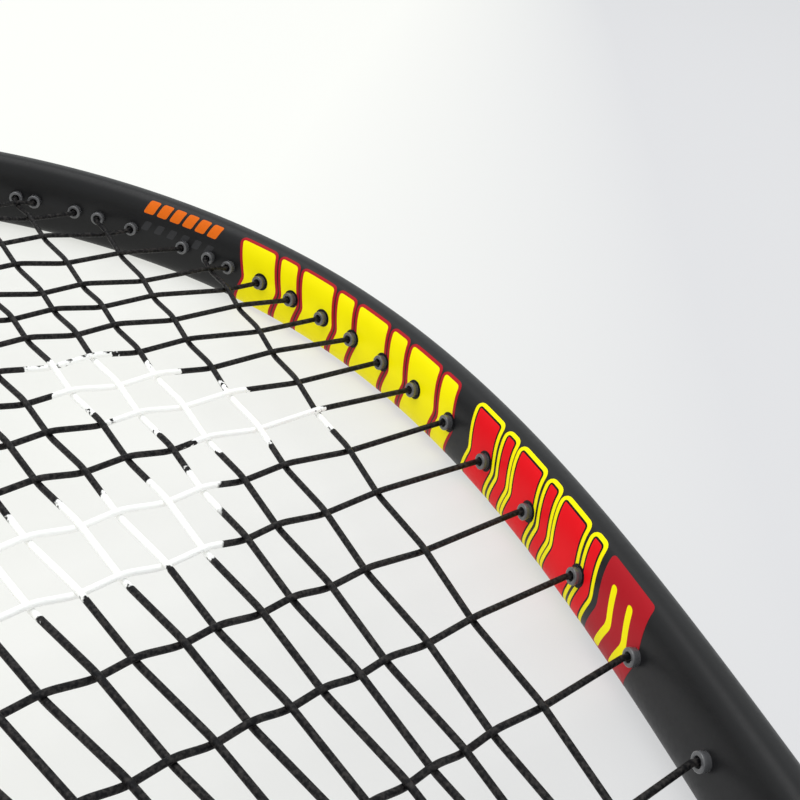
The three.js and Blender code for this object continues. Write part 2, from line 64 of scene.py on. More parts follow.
STRING_RADIUS, STRING_LEAD, LANE = 0.6, 0.8, 1.5
WEAVE_HEIGHT, WEAVE_ROUNDING = 0.66, 1.6
BEND_INSET = BARREL_PROUD + STRING_LEAD  # where a string turns into its hole
BEND_RADIUS, CHANNEL_LEAD = 1.0, 2.4
KNOT_RADIUS, KNOT_HALF_LENGTH, KNOT_LEAD = 0.62, 0.7, 1.7
GRID_Y = 517
MAINS_AT_GRID = [4.3, 12.1, 21.1, 29.3, 37.6, 48.4, 63.7]
MAINS_AT_THROAT = [1.6, 4.5, 7.4, 10.3, 13.2, 16.1, 22]
MAIN_TIE_X = 19
FIRST_CROSS_Y = 654.5
CROSS_GAPS = [10, 8, 13, 13.5, 13.5, 9.7, 10.3, 10.9, 11.1,
              11.7, 12.6, 13.7, 14.7, 16.7, 18.3, 19.4, 20.4, 20.5]
CROSS_TIE_TOP_X, CROSS_TIE_BOTTOM_Y = 41.7, 398.5

GRIP_HALF_X, GRIP_HALF_Z, GRIP_BEVEL, GRIP_CORNER = 14, 12, 6.4, 2.2
GRIP_TOP_Y, GRIP_NOSE_Y, NOSE_DROP_X, NOSE_DROP_Z = 188, 202, 2.2, 1.8
CAP_FLARE, CAP_GROW, CAP_LENGTH, CAP_ROUND, CAP_FLOOR = 3.1, 1.5, 22, 1.2, 3
WRAP_START_Y, WRAP_THICKNESS = 5.5, 1.7
OVER_CAP = CAP_GROW + GAP + 0.2  # the wrap's inside where it covers the cap
TAPE_PITCH, TAPE_LAP, TAPE_GROOVE = 24, 0.42, 0.22
FINISH_LENGTH, FINISH_PITCH, FINISH_RIDGE = 12, 3.9, 0.16
COLLAR_START_Y, COLLAR_LENGTH = GRIP_NOSE_Y + 12.8, 14
COLLAR_GROOVES, COLLAR_GROOVE_DEPTH, COLLAR_GROOVE_WIDTH = (3.4, 5.6, 7.8, 10.0), 0.55, 0.42
COLLAR_PROFILE = [(0, 13.9, 12.3), (0.4, 14.3, 12.7), (1.5, 14.6, 13.0),  # height, half x, half z
                  (10, 12.9, 11.4), (13.4, 12.0, 10.5), (14, 11.6, 10.2)]

PRINT_TOP, PRINT_BOTTOM = 8.3, -10.2  # girth over and under the middle of the inner wall
MARKS_START, YELLOW_START, RED_START, BLOCK_START = 101, 130.6, 217.6, 268.4
YELLOW_PITCH, RED_PITCH, STROKE_PITCH, MARK_PITCH = 20.2, 16.8, 5.4, 3.8
YELLOW_PAIR, RED_PAIR = ((0, 10.6), (12.7, 5.4)), ((0, 8.6), (11.2, 3.4))  # start and width
BLOCK_WIDTH, STROKE_WIDTH, DARK_RING_HALVES = 14.4, 1.7, (2.3, 2.2)
LIFT_LOW, LIFT_MIDDLE, LIFT_HIGH, LIFT_TOP = 0.03, 0.045, 0.06, 0.075  # heights of the inks

# the stencil on the bed, in metres
BAR_EDGES, BAR_ENDS_Y, BAR_CLEAR_X = (0.0355, 0.0675), (0.5235, 0.566), 0.020
BAR_LEAN, BAR_PIVOT_Y = 0.78, 0.530
KEYSTONE_HALF, KEYSTONE_ENDS_Y, KEYSTONE_TAPER, KEYSTONE_PIVOT_Y = 0.0325, (0.4995, 0.5225), 0.66, 0.5165
STENCIL_EDGE, STENCIL_WOBBLE = 0.0003, 0.0012

# the stage, in metres and degrees
FLOOR_HALF, REST_SPAN = 6.0, 0.67  # the racket rests on its grip and its tip
# the floor's glow is painted light: its colour falls from far to near along this slope
FLOOR_FALL_X, FLOOR_FALL_Y, FLOOR_FALL_FROM, FLOOR_FALL_TO = -0.117, 0.138, 0.045, 0.073
FLOOR_GLOW_NEAR, FLOOR_GLOW_FAR = (0.470, 0.472, 0.490), (0.675, 0.680, 0.645)
SKY_COLOUR, SKY_STRENGTH = (0.97, 1.0, 1.0, 1), 0.9
LAMP_SIZE, LAMP_POWER, LAMP_AT, LAMP_TURN = 1.4, 9, (-0.3, 0.9, 1.3), (-18, -18, 0)

LENS_MM, SENSOR_MM = 50.65, 36
CAMERA_AT = (-79.697, 386.476, 114.819)
CAMERA_RIGHT = (0.711034, -0.666019, 0.225498)
CAMERA_DOWN = (-0.180309, -0.482669, -0.857041)
CAMERA_FORWARD = (0.679647, 0.568726, -0.463283)


# ------------ camera
def make_camera():
    data = bpy.data.cameras.new("camera")
    data.lens = LENS_MM
    data.sensor_width = SENSOR_MM
    data.clip_start = 0.005
    data.clip_end = 30
    camera = bpy.data.objects.new("camera", data)
    right, down, forward = (np.array(v) for v in (CAMERA_RIGHT, CAMERA_DOWN, CAMERA_FORWARD))
    turn = Matrix(np.stack([right, -down, -forward], axis=1).tolist()).to_4x4()
    camera.matrix_world = Matrix.Translation([c * MM for c in CAMERA_AT]) @ turn
    bpy.context.scene.collection.objects.link(camera)
    bpy.context.scene.camera = camera


# ------------ the head's inner wall
def bezier(points, t):
    a, b, c, d = (np.array(p, float) for p in points)
    t = np.asarray(t, float)[..., None]
    return (1 - t) ** 3 * a + 3 * (1 - t) ** 2 * t * b + 3 * (1 - t) * t * t * c + t ** 3 * d


def make_wall():
    steps = 3000
    angle = np.linspace(0, math.pi / 2, steps)
    tip = np.stack([HALF_WIDTH * np.sin(angle), WIDEST_Y + TIP_RISE * np.cos(angle)], axis=1)
    arm = bezier([(HALF_WIDTH, WIDEST_Y), ARM_PULL, THROAT_PULL, ARM_END], np.linspace(0, 1, steps)[1:])
    line = np.concatenate([tip, arm])
    length = np.concatenate([[0], np.cumsum(np.hypot(*np.diff(line, axis=0).T))])
    return length, line, np.gradient(line, length, axis=0)


WALL_LENGTH, WALL_LINE, WALL_TANGENT = make_wall()
WALL_END = float(WALL_LENGTH[-1])


def wall(distance):
    """Points and outward normals at distances from the tip; the left half has negative distances."""
    distance = np.asarray(distance, float)
    s = np.abs(distance)
    side = np.where(distance < 0, -1.0, 1.0)
    x, y = (np.interp(s, WALL_LENGTH, WALL_LINE[:, k]) for k in (0, 1))
    tx, ty = (np.interp(s, WALL_LENGTH, WALL_TANGENT[:, k]) for k in (0, 1))
    size = np.hypot(tx, ty)
    return side * x, y, -side * ty / size, tx / size


def off_wall(distance, outward, z=0.0):
    x, y, nx, ny = wall(distance)
    outward, z = np.asarray(outward, float), np.asarray(z, float)
    return np.stack(np.broadcast_arrays(x + nx * outward, y + ny * outward, z), axis=-1)


def find_wall(test, inset):
    """Distance along the wall where a test on the point inside it changes sign."""
    s = np.linspace(0, WALL_END, 20001)
    values = test(off_wall(s, -inset))
    change = int(np.argmax(np.sign(values) != np.sign(values[0])))
    near = slice(change - 1, change + 1)
    places = s[near] if values[change] > 0 else s[near][::-1]
    return float(np.interp(0, sorted(values[near]), places))


def make_bridge_arc():
    """Height of the arc's centre, its radius and its half angle; it meets the wall squarely."""
    s = find_wall(lambda p: p[..., 1] - BRIDGE_JOIN_Y, 0)
    x, y, nx, ny = (float(v) for v in wall(s))
    return y - x * ny / nx, x / nx, math.atan2(nx, -ny)


BRIDGE_Y, BRIDGE_RADIUS, BRIDGE_REACH = make_bridge_arc()


# ------------ string holes
def throat_hole(x, lean):
    """Mouth and direction of a hole through the bridge that follows its string."""
    radius = BRIDGE_RADIUS - THROAT_BARREL_PROUD
    mouth = np.array([x, BRIDGE_Y - math.sqrt(radius ** 2 - x * x), 0.0])
    along = np.array([-lean, -1.0, 0.0])
    return mouth, along / np.linalg.norm(along)


def throat_reach(hole, radius):
    """How far along a throat hole the given radius of the bridge's arc is met."""
    mouth, along = hole
    m = mouth - np.array([0, BRIDGE_Y, 0])
    b = float(m @ along)
    return -b + math.sqrt(b * b - float(m @ m) + radius * radius)


def make_mains():
    """For each main of the right half: its place on the wall, its throat hole and its lean."""
    holes = []
    for x, x_throat in zip(MAINS_AT_GRID, MAINS_AT_THROAT):
        low_y = BRIDGE_Y - math.sqrt((BRIDGE_RADIUS - THROAT_BARREL_PROUD) ** 2 - x_throat ** 2)
        lean = (x - x_throat) / (GRID_Y - low_y)
        s = find_wall(lambda p: p[..., 0] - (x + lean * (p[..., 1] - GRID_Y)), BEND_INSET)
        holes.append((s, throat_hole(x_throat, lean), lean))
    return holes


MAINS = make_mains()
MAIN_TIE = throat_hole(MAIN_TIE_X, MAINS[6][2])
CROSS_YS = FIRST_CROSS_Y - np.concatenate([[0], np.cumsum(CROSS_GAPS)])


def wall_at_y(y):
    return find_wall(lambda p: p[..., 1] - y, BEND_INSET)


CROSS_HOLES = [wall_at_y(y) for y in CROSS_YS]
CROSS_TIE_TOP = -find_wall(lambda p: p[..., 0] - CROSS_TIE_TOP_X, BEND_INSET)
CROSS_TIE_BOTTOM = wall_at_y(CROSS_TIE_BOTTOM_Y)
BUMPER_END = (MAINS[6][0] + CROSS_HOLES[5] - GAP) / 2


# ------------ mesh helpers
def volume(vertices, faces):
    """Signed volume of a closed solid, positive when its faces look outwards."""
    total = 0.0
    for size in sorted({len(face) for face in faces}):
        corners = vertices[np.array([face for face in faces if len(face) == size])]
        first = corners[:, :1]
        total += float(np.sum(first * np.cross(corners[:, 1:-1], corners[:, 2:])))
    return total / 6


def merge(solids):
    """One list of vertices and faces out of several closed solids, with every face looking outwards."""
    vertices, faces, start = [], [], 0
    for own_vertices, own_faces in solids:
        way = 1 if volume(own_vertices - own_vertices.mean(axis=0), own_faces) > 0 else -1
        vertices.append(own_vertices)
        faces += [[start + i for i in face[::way]] for face in own_faces]
        start += len(own_vertices)
    return np.concatenate(vertices), faces


def add_piece(name, solids, material, node, smooth_angle):
    """A mesh piece made of closed solids; it rides with the racket and may stand in for a CAD node."""
    vertices, faces = merge(solids)
    mesh = bpy.data.meshes.new(name)
    mesh.from_pydata((vertices * MM).tolist(), [], [list(map(int, face)) for face in faces])
    mesh.shade_smooth()
    mesh.set_sharp_from_angle(angle=math.radians(smooth_angle))
    mesh.materials.append(material)
    piece = bpy.data.objects.new(name, mesh)
    bpy.context.scene.collection.objects.link(piece)
    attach(piece, "root")
    if node:
        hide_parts(node)
    return piece


def loft(rings, closed=False):
    """Vertices and faces of rings of points joined in order; a loft that isn't closed has flat ends."""
    rings = np.asarray(rings, float)
    count, around = rings.shape[:2]
    first = np.arange(count if closed else count - 1)
    after = (first + 1) % count
    k = np.arange(around)
    after_k = (k + 1) % around
    faces = np.stack([
        first[:, None] * around + k, first[:, None] * around + after_k,
        after[:, None] * around + after_k, after[:, None] * around + k], axis=-1).reshape(-1, 4).tolist()
    if not closed:
        faces.append(list(range(around))[::-1])
        faces.append(list(range((count - 1) * around, count * around)))
    return rings.reshape(-1, 3), faces


def frames_along(points):
    """Two unit vectors square to a path at each of its points, carried along without twist."""
    points = np.asarray(points, float)
    tangent = np.gradient(points, axis=0)
    tangent /= np.linalg.norm(tangent, axis=1)[:, None]
    across = np.cross([0, 0, 1.0], tangent[0])
    across /= np.linalg.norm(across)
    side = []
    for t in tangent:
        across = across - t * (across @ t)
        across /= np.linalg.norm(across)
        side.append(across.copy())
    side = np.array(side)
    return side, np.cross(tangent, side)


def tube(points, radius, sides=12):
    """A round string along a path."""
    points = np.asarray(points, float)
    side, up = frames_along(points)
    angle = np.arange(sides) / sides * 2 * math.pi
    rings = points[:, None] + radius * (
        side[:, None] * np.cos(angle)[:, None] + up[:, None] * np.sin(angle)[:, None])
    return loft(rings)


def mirror(solid):
    vertices, faces = solid
    return vertices * MIRROR_X, faces


def lathe(origin, axis, profile, sides=28):
    """Turns (along, radius) points about an axis; the profile closes on itself."""
    origin, axis = np.asarray(origin, float), np.asarray(axis, float)
    axis = axis / np.linalg.norm(axis)
    across = np.cross([0, 0, 1.0], axis)
    across /= np.linalg.norm(across)
    up = np.cross(axis, across)
    angle = np.arange(sides) / sides * 2 * math.pi
    rings = [origin + axis * a + r * (across * np.cos(angle)[:, None] + up * np.sin(angle)[:, None])
             for a, r in profile]
    return loft(rings, closed=True)


def even_points(outline, count, closed=True):
    """The outline again with points at even spacing."""
    outline = np.asarray(outline, float)
    loop = np.concatenate([outline, outline[:1]]) if closed else outline
    length = np.concatenate([[0], np.cumsum(np.linalg.norm(np.diff(loop, axis=0), axis=1))])
    wanted = np.linspace(0, length[-1], count + 1)[:-1] if closed else np.linspace(0, length[-1], count)
    return np.stack([np.interp(wanted, length, loop[:, k]) for k in range(loop.shape[1])], axis=1)


# ------------ node materials
def rgba(value):
    """A plain colour with its alpha, or a socket as it is."""
    return (*value, 1.0) if isinstance(value, tuple) else value


def shade(colour, factor):
    return tuple(min(c * factor, 1) for c in colour)


class Nodes:
    """A short way to write a node tree."""

    def __init__(self, name):
        self.material = bpy.data.materials.new(name)
        self.material.use_nodes = True
        self.tree = self.material.node_tree
        self.shader = self.tree.nodes["Principled BSDF"]

    def feed(self, socket, value):
        """Link the value when it is a socket, or else set it."""
        if isinstance(value, bpy.types.NodeSocket):
            self.tree.links.new(value, socket)
        else:
            socket.default_value = value

    def add(self, kind, inputs=None, **settings):
        node = self.tree.nodes.new(kind)
        for key, value in settings.items():
            setattr(node, key, value)
        for key, value in (inputs or {}).items():
            self.feed(node.inputs[key], value)
        return node

    def math(self, operation, *values):
        node = self.add("ShaderNodeMath", operation=operation)
        for k, value in enumerate(values):
            self.feed(node.inputs[k], value)
        return node.outputs[0]

    def place(self):
        """The point on the piece, in metres."""
        return self.add("ShaderNodeTexCoord").outputs["Object"]

    def axes(self):
        """The point on the piece as its X, Y and Z."""
        return self.add("ShaderNodeSeparateXYZ", {"Vector": self.place()}).outputs

    def noise(self, scale, detail):
        return self.add("ShaderNodeTexNoise", {
            "Vector": self.place(), "Scale": scale, "Detail": detail}).outputs["Fac"]

    def ramp(self, value, low, high, from_value, to_value):
        return self.add("ShaderNodeMapRange", {
            "Value": value, "From Min": low, "From Max": high, "To Min": from_value,
            "To Max": to_value}).outputs["Result"]

    def drift(self, scale, detail, low, high):
        """A value that wanders between two limits over the piece."""
        return self.ramp(self.noise(scale, detail), 0.3, 0.7, low, high)

    def mix(self, factor, a, b):
        node = self.add("ShaderNodeMix", data_type="RGBA")
        for key, value in ((0, factor), (6, rgba(a)), (7, rgba(b))):
            self.feed(node.inputs[key], value)
        return node.outputs[2]

    def colour(self, value):
        self.feed(self.shader.inputs["Base Color"], rgba(value))

    def roughness(self, value):
        self.feed(self.shader.inputs["Roughness"], value)

    def bump(self, height, distance, strength):
        node = self.add("ShaderNodeBump", {"Height": height, "Distance": distance, "Strength": strength})
        self.feed(self.shader.inputs["Normal"], node.outputs[0])

    def gloss(self, level, coat=0.0):
        self.shader.inputs["Specular IOR Level"].default_value = level
        self.shader.inputs["Coat Weight"].default_value = coat
        self.shader.inputs["Coat Roughness"].default_value = 0.1


def lacquer(name, colour, speckle, gloss_level):
    """Satin lacquer: fine orange peel and a slight change of tone."""
    n = Nodes(name)
    n.colour(n.mix(n.noise(60, 4), shade(colour, 1 - speckle), shade(colour, 1 + speckle)))
    n.roughness(n.drift(900, 2, 0.36, 0.44))
    n.bump(n.noise(1400, 2), 0.00002, 0.35)
    n.gloss(gloss_level)
    return n.material


def moulded(name, colour, rough_low, rough_high, grain_scale, grain_depth, gloss_level=0.5, coat=0.0):
    """Moulded plastic, foam or rubber with a fine grain."""
    n = Nodes(name)
    n.colour(n.mix(n.noise(150, 4), shade(colour, 0.8), shade(colour, 1.25)))
    n.roughness(n.drift(grain_scale / 3, 3, rough_low, rough_high))
    n.bump(n.noise(grain_scale, 3), grain_depth, 0.6)
    n.gloss(gloss_level, coat)
    return n.material


def inside_band(n, value, low, high):
    """One where the value lies between two edges of the stencil, and zero outside them."""
    rising = n.ramp(value, low - STENCIL_EDGE, low + STENCIL_EDGE, 0.0, 1.0)
    falling = n.ramp(value, high - STENCIL_EDGE, high + STENCIL_EDGE, 1.0, 0.0)
    return n.math("MULTIPLY", rising, falling)


def stencil(n):
    """Where the bed is painted: two leaning bars over a keystone, alike on both halves."""
    place = n.axes()
    wobble = n.drift(700, 2, -STENCIL_WOBBLE, STENCIL_WOBBLE)
    across = n.math("ADD", n.math("ABSOLUTE", place["X"]), wobble)
    along = n.math("ADD", place["Y"], wobble)
    lean = n.math("MULTIPLY", n.math("SUBTRACT", along, BAR_PIVOT_Y), BAR_LEAN)
    bars = n.math("MULTIPLY", inside_band(n, n.math("ADD", across, lean), *BAR_EDGES),
                  inside_band(n, along, *BAR_ENDS_Y))
    bars = n.math("MULTIPLY", bars, n.math("GREATER_THAN", across, BAR_CLEAR_X))
    taper = n.math("MULTIPLY", n.math("SUBTRACT", along, KEYSTONE_PIVOT_Y), KEYSTONE_TAPER)
    keystone = n.math("MULTIPLY",
                      inside_band(n, n.math("SUBTRACT", across, taper), -KEYSTONE_HALF, KEYSTONE_HALF),
                      inside_band(n, along, *KEYSTONE_ENDS_Y))
    return n.math("MAXIMUM", bars, keystone)


def string_material():
    """Black coated multifilament, painted white where the stencil is."""
    n = Nodes("string_black")
    fibres = n.ramp(n.noise(1500, 3), 0.42, 0.68, 0.0, 1.0)
    black = n.mix(fibres, (0.003, 0.003, 0.004), (0.032, 0.029, 0.028))
    n.colour(n.mix(stencil(n), black, (0.98, 0.98, 0.965)))
    n.roughness(n.drift(1800, 3, 0.38, 0.6))
    n.bump(n.noise(2600, 3), 0.00008, 0.8)
    n.gloss(0.14)
    return n.material


def grip_material():
    """Cushioned tape: rows of small holes, coloured near black as painted shade for their depth, and a fine
    leathery grain.
    """
    row_pitch, holes_around = 0.004, 26
    n = Nodes("grip_tape")
    place = n.axes()
    angle = n.math("ARCTAN2", place["Z"], place["X"])
    row = n.math("FRACT", n.math("MULTIPLY", place["Y"], 1 / row_pitch))
    column = n.math("FRACT", n.math("MULTIPLY", angle, holes_around / (2 * math.pi)))
    centre = [n.math("ABSOLUTE", n.math("SUBTRACT", v, 0.5)) for v in (row, column)]
    squares = [n.math("MULTIPLY", v, v) for v in centre]
    hole = n.ramp(n.math("SQRT", n.math("ADD", *squares)), 0.12, 0.19, 1.0, 0.0)
    leather = n.mix(n.noise(220, 4), (0.010, 0.010, 0.011), (0.022, 0.022, 0.023))
    # painted shade: each hole is coloured near black for the shade inside it
    n.colour(n.mix(hole, leather, (0.002, 0.002, 0.002)))
    n.roughness(n.drift(600, 3, 0.62, 0.82))
    height = n.math("SUBTRACT", n.math("MULTIPLY", n.noise(1500, 4), 0.25), hole)
    n.bump(height, 0.0003, 0.8)
    n.gloss(0.4)
    return n.material


def steel_material():
    n = Nodes("steel_wire")
    n.colour(n.mix(n.noise(900, 3), (0.55, 0.55, 0.57), (0.7, 0.7, 0.72)))
    n.roughness(n.drift(1500, 2, 0.25, 0.4))
    n.shader.inputs["Metallic"].default_value = 1.0
    return n.material


PAINT = lacquer("satin_black_lacquer", (0.008, 0.008, 0.009), 0.25, 0.26)
YELLOW = lacquer("print_yellow_ink", (1.0, 0.87, 0.0), 0.02, 0.08)
RED = lacquer("print_red_ink", (0.80, 0.006, 0.012), 0.05, 0.08)
DARK_RED = lacquer("print_dark_red_ink", (0.42, 0.010, 0.018), 0.08, 0.1)
ORANGE = lacquer("print_orange_ink", (0.78, 0.15, 0.008), 0.10, 0.1)
GREY = lacquer("print_grey_ink", (0.035, 0.035, 0.038), 0.10, 0.15)
BLACK_INK = lacquer("print_black_ink", (0.006, 0.006, 0.007), 0.1, 0.12)
NYLON = moulded("grommet_nylon", (0.085, 0.085, 0.09), 0.22, 0.32, 1800, 0.00003, 0.5, 0.5)
BUMPER = moulded("bumper_plastic", (0.014, 0.014, 0.015), 0.36, 0.5, 1600, 0.00005, 0.35)
STRING = string_material()
GRIP = grip_material()
FOAM = moulded("hard_foam", (0.07, 0.07, 0.065), 0.85, 0.95, 900, 0.0002)
CAP = moulded("cap_plastic", (0.018, 0.018, 0.019), 0.5, 0.62, 1500, 0.00008)
TAPE = moulded("vinyl_tape", (0.010, 0.010, 0.011), 0.28, 0.4, 700, 0.00005)
RUBBER = moulded("collar_rubber", (0.013, 0.013, 0.014), 0.6, 0.75, 1200, 0.00006)
STEEL = steel_material()


# ------------ frame
def oval(width, depth, count):
    """(outward, z) points of the tube's section, evenly spaced, from the middle of the inner wall over +z."""
    angle = np.arange(FINE_POINTS) / FINE_POINTS * 2 * math.pi
    c, s = -np.cos(angle), np.sin(angle)
    power = 2 / SQUARENESS
    outline = np.stack([width / 2 * (1 + np.sign(c) * np.abs(c) ** power),
                        depth / 2 * np.sign(s) * np.abs(s) ** power], axis=1)
    return even_points(outline, count)


def smooth_step(value, low, high):
    t = np.clip((value - low) / (high - low), 0, 1)
    return t * t * (3 - 2 * t)


def tube_section(width, depth, half, groove):
    """The tube's section with an outer channel of the given half width and depth."""
    plain = oval(width, depth, FINE_POINTS)
    lip = half + CHANNEL_LIP
    outside = (plain[:, 0] > width / 2) & (np.abs(plain[:, 1]) < lip)
    rest = plain[~outside]
    body = even_points(rest[rest[:, 1] >= 0], (SECTION_POINTS - CHANNEL_POINTS) // 2, closed=False)
    z = np.linspace(body[-1, 1], -body[-1, 1], CHANNEL_POINTS + 2)[1:-1]
    z = np.sign(z) * lip * (np.abs(z) / lip) ** 0.8
    surface = np.interp(np.abs(z), [0, lip], [plain[outside, 0].max(), body[-1, 0]])
    depth_here = groove * smooth_step(half + 0.35 - np.abs(z), 0, 0.7)
    channel = np.stack([surface - depth_here, z], axis=1)
    lower = body[::-1] * [1, -1]
    return np.concatenate([body, channel, lower[:-1]])


def wall_ring(place, section):
    """An (outward, z) section set square to the wall at an (x, y, nx, ny) place."""
    x, y, nx, ny = place
    n, z = section.T
    return np.stack([x + nx * n, y + ny * n, z], axis=1)


def hoop_rings(stations):
    rings = []
    for place in zip(*wall(stations)):
        groove = CHANNEL_DEPTH * float(smooth_step(place[1], CHANNEL_END_Y - 3, CHANNEL_END_Y))
        rings.append(wall_ring(place, tube_section(TUBE_WIDTH, TUBE_DEPTH, CHANNEL_HALF, groove)))
    return rings


def arm_tail():
    """The middle of the right arm's tube below the wall's end: points and outward normals."""
    x, y, nx, ny = (float(v) for v in wall(WALL_END))
    end = (x + nx * TUBE_WIDTH / 2, y + ny * TUBE_WIDTH / 2)
    pulls = [end, (end[0] + ny * BLEND_PULL, end[1] - nx * BLEND_PULL),
             (BLEND_X, BLEND_Y + BLEND_PULL), (BLEND_X, BLEND_Y)]
    line = bezier(pulls, np.linspace(0, 1, 61))
    tangent = np.gradient(line, axis=0)
    tangent /= np.linalg.norm(tangent, axis=1)[:, None]
    normal = np.stack([-tangent[:, 1], tangent[:, 0]], axis=1)
    return line[1:], normal[1:]


def half_depth(x, half_width, full_half_depth):
    """Half the depth of an oval section at a distance from its middle."""
    inside = np.clip(1 - np.abs(x / half_width) ** SQUARENESS, 0, 1)
    return full_half_depth * inside ** (1 / SQUARENESS)


def tail_rings():
    """The right arm's rings below the wall's end, which melt into the shaft's outline."""
    line, normal = arm_tail()
    n, z = tube_section(TUBE_WIDTH, TUBE_DEPTH, CHANNEL_HALF, 0.0).T
    outward = n - TUBE_WIDTH / 2
    own_half = np.maximum(half_depth(outward, TUBE_WIDTH / 2, TUBE_DEPTH / 2), 0.05)
    rings = []
    for share, p, q in zip(np.linspace(0, 1, len(line)), line, normal):
        x = p[0] + q[0] * outward
        ratio = np.minimum(half_depth(x, SHAFT_HALF_WIDTH, SHAFT_HALF_DEPTH) / own_half, 3.0)
        melt = float(smooth_step(share, 0.35, 1.0))
        rings.append(np.stack([x, p[1] + q[1] * outward, z * (1 + melt * (ratio - 1))], axis=1))
    return rings


def hoop_solid():
    tail = tail_rings()
    mirrored = [ring * MIRROR_X for ring in tail]
    return loft(mirrored[::-1] + hoop_rings(np.linspace(-WALL_END, WALL_END, 561)) + tail)


def bridge_ring(angle, section):
    """An (outward, z) section set square to the bridge's arc."""
    reach = BRIDGE_RADIUS + section[:, 0]
    return np.stack([reach * math.sin(angle), BRIDGE_Y - reach * math.cos(angle), section[:, 1]], axis=1)


def bridge_solid():
    plain, grooved = (tube_section(BRIDGE_WIDTH, BRIDGE_DEPTH, BRIDGE_CHANNEL_HALF, groove)
                      for groove in (0.0, BRIDGE_CHANNEL_DEPTH))
    rings = []
    for angle in np.linspace(-BRIDGE_REACH, BRIDGE_REACH, 60):
        share = float(smooth_step(BRIDGE_CHANNEL_REACH - abs(angle), 0, 0.05))
        rings.append(bridge_ring(angle, plain * (1 - share) + grooved * share))
    return loft(rings)


def shaft_solid():
    """The shaft, whose top narrows into a rounded web between the arms."""
    n, z = oval(2 * SHAFT_HALF_WIDTH, 2 * SHAFT_HALF_DEPTH, 96).T
    levels = [(y, 1.0, 1.0) for y in np.linspace(SHAFT_BOTTOM_Y, BLEND_Y, 24)]
    for turn in np.linspace(0.15, math.pi / 2 - 0.05, 12):
        y = BLEND_Y + CROTCH_RISE * math.sin(turn)
        levels.append((y, 0.45 + 0.4 * math.cos(turn), math.cos(turn) ** 0.7))
    return loft([np.stack([(n - SHAFT_HALF_WIDTH) * wide, np.full_like(n, y), z * deep], axis=1)
                 for y, wide, deep in levels])


def build_frame():
    solids = [hoop_solid(), bridge_solid(), shaft_solid()]
    add_piece("frame_tube", solids, PAINT, "frame", 35)


# ------------ printed band
INKS = {"yellow": YELLOW, "red": RED, "dark_red": DARK_RED,
        "orange": ORANGE, "grey": GREY, "black": BLACK_INK}


def section_loop():
    """The plain section of the tube as a closed line, and its length."""
    section = oval(TUBE_WIDTH, TUBE_DEPTH, FINE_POINTS)
    loop = np.concatenate([section, section[:1]])
    return loop, float(np.sum(np.linalg.norm(np.diff(loop, axis=0), axis=1)))


SECTION_LOOP, GIRTH = section_loop()


def on_section(share):
    """Outward and z at a share of the girth."""
    around = np.linspace(0, 1, len(SECTION_LOOP))
    return [np.interp(np.mod(share, 1), around, SECTION_LOOP[:, k]) for k in (0, 1)]


def on_tube(s, v, lift, side):
    """Point on the tube at wall distance s and girth v, counted from the inner middle over +z."""
    share, step = np.mod(v / GIRTH, 1.0), 1e-3
    n, z = on_section(share)
    dn, dz = np.subtract(on_section(share + step), on_section(share - step))
    size = np.hypot(dn, dz)
    return off_wall(side * s, n - lift * dz / size, z + lift * dn / size)


def rounded(points, radius, steps=6):
    """The outline with each corner turned into an arc-like curve."""
    points = np.asarray(points, float)
    out = []
    for i, p in enumerate(points):
        before, after = points[i - 1] - p, points[(i + 1) % len(points)] - p
        reach = [min(radius, np.linalg.norm(v) * 0.48) / np.linalg.norm(v) for v in (before, after)]
        a, b = p + before * reach[0], p + after * reach[1]
        for t in np.linspace(0, 1, steps):
            out.append((1 - t) ** 2 * a + 2 * t * (1 - t) * p + t * t * b)
    return np.array(out)


def grown(outline, distance):
    """The outline moved out by a distance, or in when it is negative."""
    outline = np.asarray(outline, float)
    tangent = np.roll(outline, -1, axis=0) - np.roll(outline, 1, axis=0)
    tangent /= np.linalg.norm(tangent, axis=1)[:, None] + 1e-9
    area = np.sum(outline[:, 0] * np.roll(outline[:, 1], -1) - np.roll(outline[:, 0], -1) * outline[:, 1])
    normal = np.stack([tangent[:, 1], -tangent[:, 0]], axis=1) * np.sign(area)
    return outline + normal * np.asarray(distance)


def filled(outline):
    """The outline filled with small flat faces: its points, the faces that look up, and the rim's edges."""
    work = bmesh.new()
    ring = [work.verts.new((float(s), float(v), 0)) for s, v in outline]
    edges = [work.edges.new(pair) for pair in zip(ring, ring[1:] + ring[:1])]
    bmesh.ops.triangle_fill(work, use_beauty=True, use_dissolve=False, edges=edges)
    low, high = np.min(outline, axis=0), np.max(outline, axis=0)
    for axis, step in ((0, 1.5), (1, 0.4)):
        for cut in np.arange(math.ceil(low[axis] / step) * step, high[axis], step):
            centre, normal = [0, 0, 0], [0, 0, 0]
            centre[axis], normal[axis] = float(cut), 1
            everything = list(work.verts) + list(work.edges) + list(work.faces)
            bmesh.ops.bisect_plane(work, geom=everything, plane_co=centre, plane_no=normal)
    bmesh.ops.remove_doubles(work, verts=work.verts, dist=1e-4)
    bmesh.ops.dissolve_degenerate(work, dist=1e-5, edges=work.edges)
    for face in work.faces:
        face.normal_update()
        if face.normal.z < 0:
            face.normal_flip()
    work.verts.index_update()
    flat = np.array([v.co[:2] for v in work.verts])
    faces = [[v.index for v in face.verts] for face in work.faces]
    rim_loops = [edge.link_loops[0] for edge in work.edges if len(edge.link_faces) == 1]
    rim = [(loop.vert.index, loop.link_loop_next.vert.index) for loop in rim_loops]
    work.free()
    return flat, faces, rim


def ink(outline, lift, side):
    """A thin closed layer over the tube, from an outline in wall distance and girth."""
    flat, faces, rim = filled(outline)
    top = on_tube(flat[:, 0], flat[:, 1], lift, side)
    bottom = on_tube(flat[:, 0], flat[:, 1], -0.04 - lift / 3, side)
    count = len(flat)
    under = [[i + count for i in face][::-1] for face in faces]
    walls = [[b, a, a + count, b + count] for a, b in rim]
    return np.concatenate([top, bottom]), faces + under + walls


